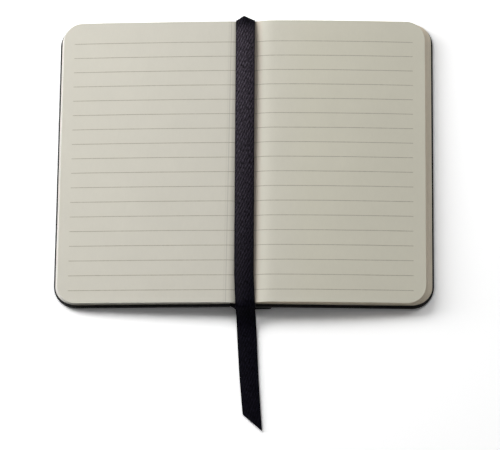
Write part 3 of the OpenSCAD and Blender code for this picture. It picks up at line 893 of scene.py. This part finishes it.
def place_group(tree, name, inputs):
    """A group placed in a material with numbers of its own, as its outputs by name."""
    return outputs(node(tree, "ShaderNodeGroup", inputs, node_tree=bpy.data.node_groups[name]))


VECTOR, FLOAT, COLOUR = "NodeSocketVector", "NodeSocketFloat", "NodeSocketColor"


# %% [markdown]
# ## Paper
# Uncoated paper has three layers of detail: a cloudy tone a centimetre or two across,
# flecks of a millimetre or two, and a felt of fibres finer than that. A photograph of
# paper would fix the light with it, so three noises do it. The group puts out a colour
# and a height, which feeds a Bump node in each material.

# %% Group: paper fibre
given, result = group(
    "paper fibre",
    [("Place", VECTOR, None), ("Colour", COLOUR, (0.7, 0.7, 0.6, 1)), ("Cloud", FLOAT, 0.02),
     ("Fleck", FLOAT, 0.03)],
    [("Colour", COLOUR), ("Height", FLOAT)],
)
cloud = noise(given["Place"], 70, 2)
fleck = noise(mapped(given["Place"], (1, 0.45, 1)), 700, 4)
felt = noise(mapped(given["Place"], (0.5, 1, 1)), 3800, 3)
tone = (cloud - 0.5) * given["Cloud"] + (fleck - 0.5) * given["Fleck"] + (felt - 0.5) * 0.03
tone = mixed(1.0, given["Colour"], tone * 2 + 1, "MULTIPLY")
feed(result, {"Colour": tone, "Height": fleck * 0.5 + felt})

# %% [markdown]
# ## Woven cloth
# In a twill each thread passes over two and under two, and each row steps along by one,
# which draws diagonal ribs. In a plain weave over and under change at every thread.
# Counting threads with floor, and adding the two counts, tells which thread is on top; a
# sine across that thread gives its round back. One group makes both weaves: its period is
# four threads in a twill and two in a plain weave.

# %% Group: weave
given, result = group(
    "weave",
    [("Flat", VECTOR, None), ("Pitch", FLOAT, 0.3), ("Period", FLOAT, 4.0)],
    [("Height", FLOAT), ("Warp", FLOAT)],
)
across, along, _ = parts(given["Flat"])
threads = across / given["Pitch"], along / given["Pitch"]
count = threads[0].math("FLOOR") + threads[1].math("FLOOR")
over = (count / given["Period"]).math("FRACT").math("LESS_THAN", 0.499)
warp, weft = (abs((thread * np.pi).math("SINE")) for thread in threads)
feed(result, {"Height": over * warp + (over * -1 + 1) * weft * 0.75, "Warp": over})

# %% [markdown]
# ## Leatherette grain
# The cover cloth is embossed with small irregular pebbles. Voronoi cells give pebbles,
# and a little noise added to the place keeps their outlines from being straight.

# %% Group: pebble grain
given, result = group(
    "pebble grain",
    [("Place", VECTOR, None), ("Cells", FLOAT, 1500.0)],
    [("Height", FLOAT), ("Valley", FLOAT)],
)
place = given["Place"]
bent = node(
    place.tree, "ShaderNodeVectorMath", {0: place, 1: noise(place, 2200, 2) * 0.0005},
    operation="ADD",
)
cell = node(
    place.tree, "ShaderNodeTexVoronoi", {"Vector": bent, "Scale": given["Cells"]},
    feature="DISTANCE_TO_EDGE",
)
dome = spread(cell, 0.0, 0.32).math("POWER", 0.6)
feed(result, {"Height": dome, "Valley": spread(cell, 0.09, 0.0)})


# %% [markdown]
# ## Materials
# Each finish starts from one Principled shader. Colours that vary come through its
# sockets, and the values that are the same all over are set on the shader itself. The
# page paper carries painted shade: a warmer cream on the shaded right page, a warm
# shade beside the ribbon at the right page's fold, and darker lines along the two creases.


# %% Material helpers
def material(name, **fixed):
    """A material, its node tree, and its Principled shader with its fixed values."""
    made = bpy.data.materials.new(name)
    made.use_nodes = True
    shader = made.node_tree.nodes["Principled BSDF"]
    feed(shader, {socket.replace("_", " "): value for socket, value in fixed.items()})
    return made, made.node_tree, shader


def object_place(tree):
    """Where a point of the piece lies, in its object's coordinates."""
    return node(tree, "ShaderNodeTexCoord", out="Object")


def mask(tree, name):
    """A mask that is stored on the points of a piece."""
    return node(tree, "ShaderNodeAttribute", out="Fac", attribute_name=name)


def finish_with(shader, colour, height=None, depth=0.0):
    """Feeds a colour to a shader, and a height as relief of a depth in metres."""
    feed(shader, {"Base Color": colour})
    if height is not None:
        relief = {"Height": height, "Strength": 1.0, "Distance": depth}
        feed(shader, {"Normal": node(height.tree, "ShaderNodeBump", relief)})


def finish_paper(shader, colour, cloud, fleck, depth):
    """Feeds a paper colour through the fibre group."""
    tree = shader.id_data
    inputs = {"Place": object_place(tree), "Colour": colour, "Cloud": cloud, "Fleck": fleck}
    fibre = place_group(tree, "paper fibre", inputs)
    finish_with(shader, fibre["Colour"], fibre["Height"], depth)


def wear_material(piece, made):
    """Gives a piece its material."""
    piece.data.materials.clear()
    piece.data.materials.append(made)


# %% Page paper
# The right page's cream is warmer, a painted tint for the shade that page lies in.
LEFT_PAPER, SHADED_RIGHT_PAPER = (0.70, 0.675, 0.59, 1), (0.70, 0.675, 0.565, 1)
# A warm colour painted as the shade beside the ribbon at the fold, and black for the creases'
# painted shade.
FOLD_SHADE_PAPER, CREASE_SHADE_BLACK = (0.70, 0.620, 0.520, 1), (0, 0, 0, 1)
# Places in metres: where the painted warm shade at the fold comes and goes, and the reach of a
# crease's painted shade
FOLD_SHADE_FROM, FOLD_SHADE_TO, CREASE_REACH = (0.0, 0.003), (0.005, 0.008), 0.0004
page_paper, tree, shader = material("cream page paper", Roughness=0.88, Specular_IOR_Level=0.2)
x, y, _ = parts(object_place(tree))
# Painted shade tint: the right page gets the warmer cream.
paper = mixed(spread(x, 0.0, 0.03), LEFT_PAPER, SHADED_RIGHT_PAPER)
# Painted warm shade beside the ribbon's right edge, at the right page's fold.
fold_shade = spread(x, *FOLD_SHADE_FROM) * spread(x, *FOLD_SHADE_TO, 1.0, 0.0)
paper = mixed(fold_shade, paper, FOLD_SHADE_PAPER)
# Painted shade along the two creases: the paper is mixed towards black there.
from_crease = y * -CREASE_LEAN + x - CREASE_X * MM
for beside, dark in ((0.0, 0.18), (CREASES_APART * MM, 0.06)):
    crease = spread(abs(from_crease + beside), 0.0, CREASE_REACH, dark, 0.0)
    paper = mixed(crease, paper, CREASE_SHADE_BLACK)
finish_paper(shader, paper, cloud=0.03, fleck=0.02, depth=0.00002)

# %% Cut edges of the leaves
edge_paper, tree, shader = material("cut paper edges", Roughness=0.92, Specular_IOR_Level=0.15)
x, _, _ = parts(object_place(tree))
# The right side's cut edges are a lighter, browner copy of the same paper: painted light for how
# the light falls there.
right_edge_light = spread(x, -0.01, 0.01)
dull = mixed(right_edge_light, (0.72, 0.70, 0.65, 1), (0.80, 0.71, 0.57, 1))
pale = mixed(right_edge_light, (0.83, 0.81, 0.77, 1), (0.95, 0.88, 0.74, 1))
# Painted shade for the grooves between the leaves.
groove_shade = mixed(right_edge_light, (0.46, 0.44, 0.39, 1), (0.56, 0.48, 0.37, 1))
# The leaf mask gives each leaf a random tone and paints the lower leaves paler as light.
tone = mixed(mask(tree, "groove"), mixed(mask(tree, "leaf"), dull, pale), groove_shade)
finish_paper(shader, tone, cloud=0.03, fleck=0.08, depth=0.00003)

# %% Ink
ink, tree, shader = material("pale grey ink", Roughness=0.85, Specular_IOR_Level=0.2)
broken = spread(noise(object_place(tree), 1600), 0.35, 0.65)
finish_with(shader, mixed(broken, (0.397, 0.366, 0.284, 1), (0.505, 0.475, 0.386, 1)))

# %% Endpaper, lining and thread
endpaper, tree, shader = material("cream endpaper", Roughness=0.85, Specular_IOR_Level=0.25)
finish_paper(shader, (0.67, 0.64, 0.54, 1), cloud=0.04, fleck=0.05, depth=0.00004)

lining_cloth, tree, shader = material("open lining cloth", Roughness=0.9, Specular_IOR_Level=0.2)
flat_mm = mapped(object_place(tree), (1000.0,) * 3)
cloth = place_group(tree, "weave", {"Flat": flat_mm, "Pitch": 0.55, "Period": 2.0})
# The hollows between the threads are painted darker as shade.
tone = mixed(cloth["Height"], (0.42, 0.39, 0.31, 1), (0.68, 0.64, 0.54, 1))
finish_with(shader, tone, cloth["Height"], 0.0002)

thread_yarn, tree, shader = material(
    "white linen thread", Roughness=0.8, Specular_IOR_Level=0.25, Sheen_Weight=0.2
)
hair = noise(mapped(object_place(tree), (1, 0.25, 1)), 5000)
finish_with(shader, mixed(hair, (0.62, 0.60, 0.52, 1), (0.86, 0.84, 0.77, 1)), hair, 0.0001)

# %% Black leatherette
leatherette, tree, shader = material("black leatherette", Specular_IOR_Level=0.25)
place = object_place(tree)
grain = place_group(tree, "pebble grain", {"Place": place, "Cells": 1500.0})
worn = mask(tree, "wear") * spread(noise(place, 300, 4), 0.42, 0.68)
# The valleys of the pebble grain are painted darker as shade.
tone = mixed(grain["Valley"], (0.007, 0.007, 0.0075, 1), (0.004, 0.004, 0.0045, 1))
tone = mixed(worn * 0.5, tone, (0.04, 0.038, 0.037, 1))
finish_with(shader, tone, grain["Height"], 0.00006)
feed(shader, {"Roughness": worn * -0.1 + noise(place, 160) * 0.18 + 0.40})

# %% [markdown]
# The ribbon's cloth is a fine black twill with a purplish cast, and plain selvedges that
# are a little darker. The warp is packed twice as close as the weft, so its ribs stand
# steep, and thick and thin places in the yarn break them up. The raised warp is painted
# lighter as glint and the low places of the weave darker as shade. A painted sheen greys
# it on the pages, where the light's reflection falls, painted shade keeps the fold at the
# head black, and the loose end stays black. Ribs, sheen and shade read the flat map, in
# millimetres, so they bend with the cloth.

# %% Woven ribbon
# Places along the ribbon in mm: painted fold shade lifts, painted sheen rises, sheen fades
FOLD_SHADE_LIFT, SHEEN_RISE, SHEEN_FADE = (14.0, 19.0), (18.0, 23.5), (45.0, 161.0)
woven, tree, shader = material("black twill ribbon", Specular_IOR_Level=0.02)
flat_map = node(tree, "ShaderNodeUVMap", uv_map="cloth_mm")
_, along, _ = parts(flat_map)
steep = mapped(flat_map, (1.0, 0.5, 1.0))
twill = place_group(tree, "weave", {"Flat": steep, "Pitch": 0.36, "Period": 4.0})
slub = noise(mapped(flat_map, (1.0, 0.38, 1.0), turn=-0.3), 1.7, roughness=0.6)
selvedge = spread(mask(tree, "selvedge"), 0.84, 0.9)
# Painted sheen: grey on the pages where the light's reflection falls, near black at the head fold
# and towards the loose end.
painted_sheen = spread(along, *SHEEN_RISE, 0.1, 1.0) * spread(along, *SHEEN_FADE, 1.0, 0.0)
tone = mixed(painted_sheen, (0.0043, 0.0038, 0.0072, 1), (0.0340, 0.0285, 0.0375, 1))
# The raised warp is painted lighter as glint and the low places of the weave darker as shade; the
# slub breaks both up, and the selvedges are darker.
ribs = (twill["Warp"] * 0.7 + 0.65) * spread(slub, 0.35, 0.65, 0.25, 1.75)
ribs = ribs * (twill["Height"] * 0.4 + 0.8) * (selvedge * -0.35 + 1.0)
# Painted shade on the ribbon's climb to the head fold.
ribs = ribs * spread(along, *FOLD_SHADE_LIFT, 0.2, 1.0)
tone = mixed(1.0, tone, ribs, "MULTIPLY")
finish_with(shader, tone, slub * 0.6 + twill["Height"], 0.00006)
feed(shader, {"Roughness": selvedge * 0.2 + (twill["Warp"] * -0.05 + 0.45)})

# %% [markdown]
# ## Putting the pieces on the frame
# Each dressed piece rides on the body that carries it and stands for the solid it replaces.
# The leatherette runs unbroken over both hinges on the real book, so two narrow skins
# cover the hinges between the spine and the boards; they ride on no body.

# %% Ride and replace
dressing = [
    (block, "book", "page_block", edge_paper, "pages"),
    (left_leaf, "book", "page_block", page_paper, "pages"),
    (right_leaf, "book", "page_block", page_paper, "pages"),
    (ruling, "book", "ruled_lines", ink, "ink"),
    (stitches, "book", "sewing_thread", thread_yarn, "thread"),
    (ribbon, "book", "ribbon_marker", woven, "ribbon"),
    (strip, "book", "spine_strip", leatherette, "leatherette"),
    (front_lip, "book", "spine_strip", leatherette, "leatherette"),
    (front_board, "front_board", "front_cover", leatherette, "cover"),
    (back_board, "back_board", "back_cover", leatherette, "cover"),
    (rear_joint, "back_board", "rear_joint", leatherette, "leatherette"),
]
for piece, body, solid, finish, slot_name in dressing:
    wear_material(piece, finish)
    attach(piece, body)
    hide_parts(solid)
for skin, board, start, end in (
    (front_skin, "front_board", (front_hinge_x + 0.2, 0, 4.2), (front_hinge_x - 0.5, 0, 4.2)),
    (rear_skin, "back_board", (back_hinge_x - 0.2, 0, 0), (back_hinge_x + 0.2, 0, 0)),
):
    wear_material(skin, leatherette)
    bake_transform(skin)
for name, finish in (
    ("front_pastedown", endpaper), ("back_pastedown", endpaper), ("spine_lining", lining_cloth),
):
    wear_material(nodes[name], finish)

# %% [markdown]
# ## Light, table and background
# In the photograph no shadow falls to the left or above, a soft one falls to the right,
# and a short dark one below the tail. So the main light is large and low, on the left and
# a little towards the head, and a fill beyond the head and a dim sky soften it. The table
# is white to the camera and still takes the shadows. It is bright through its own colour,
# so that the lamps can stay at a level where paper keeps its tone. Away from the book it
# turns to an even white, so that the lamps' edges don't show on it.

# %% The soft lights
def soft_light(name, towards, distance, size, energy):
    """A rectangular lamp that faces the origin from a direction. Its long side runs as
    near the x axis as it can."""
    lamp = bpy.data.lights.new(name, "AREA")
    lamp.shape = "RECTANGLE"
    lamp.size, lamp.size_y = size
    lamp.energy = energy
    made = add_object(name, lamp)
    facing = unit(towards)
    long_way = unit([1.0, 0, 0] - facing[0] * facing)
    made.matrix_world = placed(long_way, np.cross(facing, long_way), facing, distance * facing)


soft_light("key", towards=(-2.0, 0.86, 1.0), distance=1150, size=(1.8, 0.42), energy=21.5)
soft_light("fill", towards=(0.3, 0.70, 1.0), distance=1400, size=(1.0, 0.5), energy=4.2)

# %% Sky
world = bpy.data.worlds.new("studio")
bpy.context.scene.world = world
world.use_nodes = True
_, _, height = parts(node(world.node_tree, "ShaderNodeTexCoord", out="Generated"))
sky = {"Color": spread(height, 0.05, 0.35, 1.0, 0.10), "Strength": 1.0}
feed(world.node_tree.nodes["Background"], sky)

# %% Table
FLOOR_R, RIM_N, EVEN_FROM, EVEN_TO = 6000, 96, 0.16, 0.4
angle = np.linspace(0, 2 * np.pi, RIM_N, endpoint=False)
rim = FLOOR_R * stacked(np.cos(angle), np.sin(angle), 0)
floor = put_mesh("floor", rim, [np.arange(RIM_N)[None]], sharp=False)
floor_white, tree, shader = material("white table")
tree.nodes.remove(shader)
rays = outputs(node(tree, "ShaderNodeLightPath"))
sight = rays["Is Camera Ray"].math("MAXIMUM", rays["Is Glossy Ray"])
sight = sight.math("MAXIMUM", rays["Is Transmission Ray"])
plain, bright = (
    node(tree, "ShaderNodeBsdfDiffuse", {"Color": (tone, tone, tone, 1)}) for tone in (0.8, 1.5)
)
white = node(tree, "ShaderNodeEmission", {"Color": (1, 1, 1, 1)})
way = node(tree, "ShaderNodeVectorMath", {0: object_place(tree)}, out="Value", operation="LENGTH")
far = spread(way, EVEN_FROM, EVEN_TO)
table = node(tree, "ShaderNodeMixShader", {0: far, 1: bright, 2: white})
both = node(tree, "ShaderNodeMixShader", {0: sight, 1: plain, 2: table})
feed(tree.nodes["Material Output"], {"Surface": both})
wear_material(floor, floor_white)

# %% View settings
bpy.context.scene.view_settings.view_transform = "Standard"
